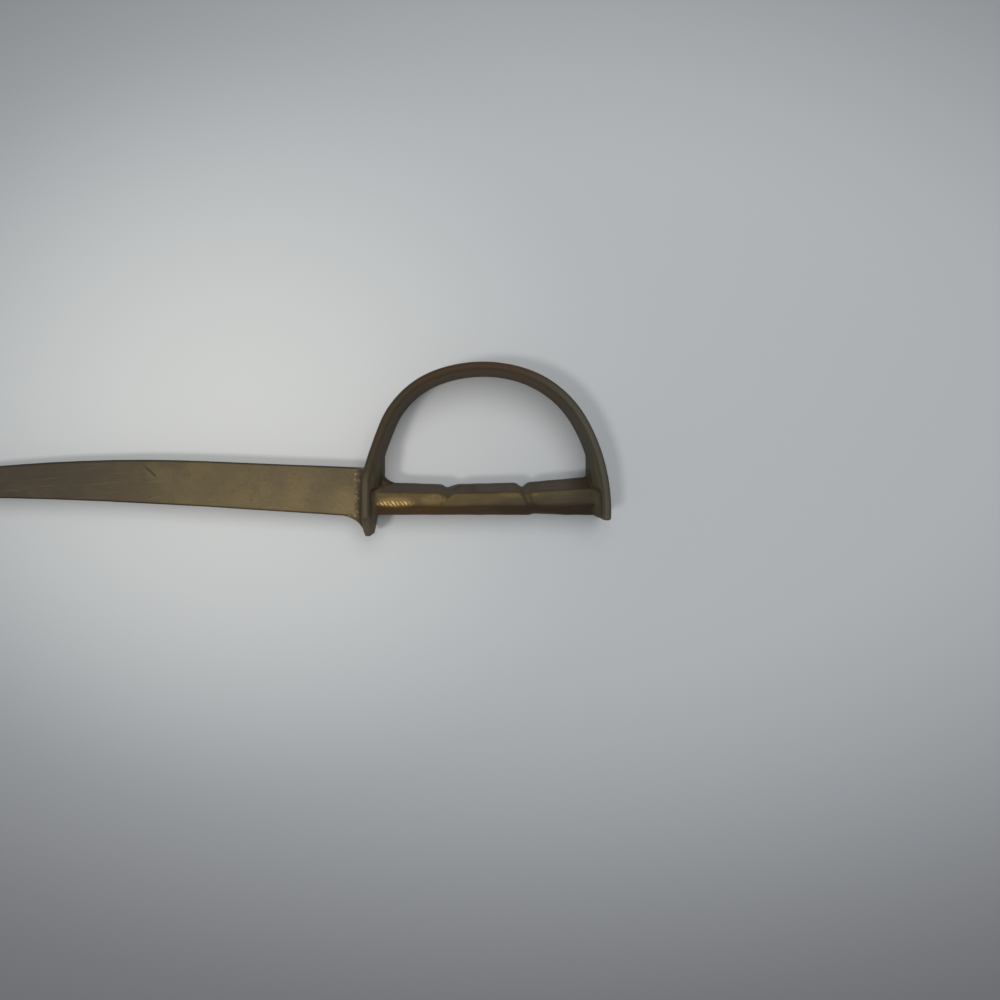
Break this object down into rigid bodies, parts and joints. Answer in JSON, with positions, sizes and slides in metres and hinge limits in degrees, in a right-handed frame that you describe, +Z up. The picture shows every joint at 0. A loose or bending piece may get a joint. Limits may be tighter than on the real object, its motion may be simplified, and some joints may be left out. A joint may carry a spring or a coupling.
{
  "type": "letter opener",
  "caption": "Brass letter opener shaped like a small sabre, with a flat tapering blade, a D-shaped knuckle bow bent from one strap with the guard, and a faceted, notched grip.",
  "frame": {"origin": "centre of the bounding box in plan, on the surface that the opener lies on", "axes": "+X along the grip from the blade's point towards the tail, +Y from the grip towards the knuckle bow, +Z up from the surface that it lies on"},
  "size_m": [0.2004, 0.0426, 0.016],
  "materials": {
    "blade_brass": "dull aged brass with a thin brown tarnish and hairline scratches",
    "strap_brass": "dark brown tarnished brass",
    "grip_brass": "tarnished brass, rubbed bright where it is held",
    "braze_metal": "rough brazing metal, a little brighter than the pieces that it joins"
  },
  "bodies": {
    "root": {"blade": "blade_brass", "guard_bow": "strap_brass", "grip": "grip_brass", "blade_braze": "braze_metal", "grip_front_braze": "braze_metal", "grip_rear_braze": "braze_metal", "bow_front_braze": "braze_metal", "bow_rear_braze": "braze_metal"}
  },
  "joints": []
}
